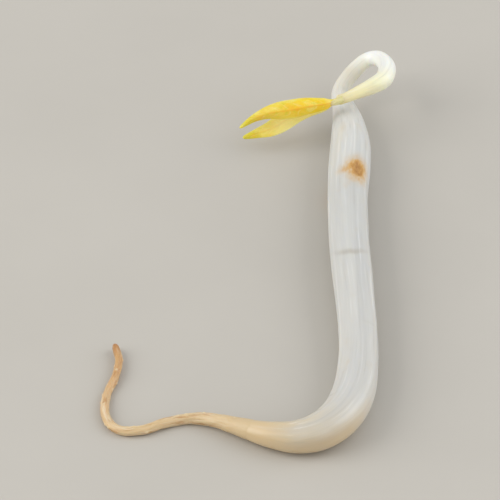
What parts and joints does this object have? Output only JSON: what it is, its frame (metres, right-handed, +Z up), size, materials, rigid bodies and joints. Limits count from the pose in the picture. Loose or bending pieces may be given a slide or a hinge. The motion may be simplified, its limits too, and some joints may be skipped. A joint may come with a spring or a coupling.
{
  "type": "mung bean sprout",
  "caption": "Single mung bean sprout lying on its side: plump white stem, thin tan root, and a hooked neck that carries a pair of folded yellow leaves.",
  "frame": {"origin": "on the surface that the sprout lies on, under the middle of its bounding box", "axes": "+Y along the stem towards the hooked neck, +X across the stem away from the root and the leaves, +Z up from the surface"},
  "size_m": [0.0277, 0.0567, 0.006],
  "materials": {
    "stem_flesh": "satin",
    "root_skin": "matte",
    "leaf_blade": "satin"
  },
  "bodies": {
    "root": {"stem": "stem_flesh", "root": "root_skin", "leaf_upper": "leaf_blade", "leaf_lower": "leaf_blade"}
  },
  "joints": []
}
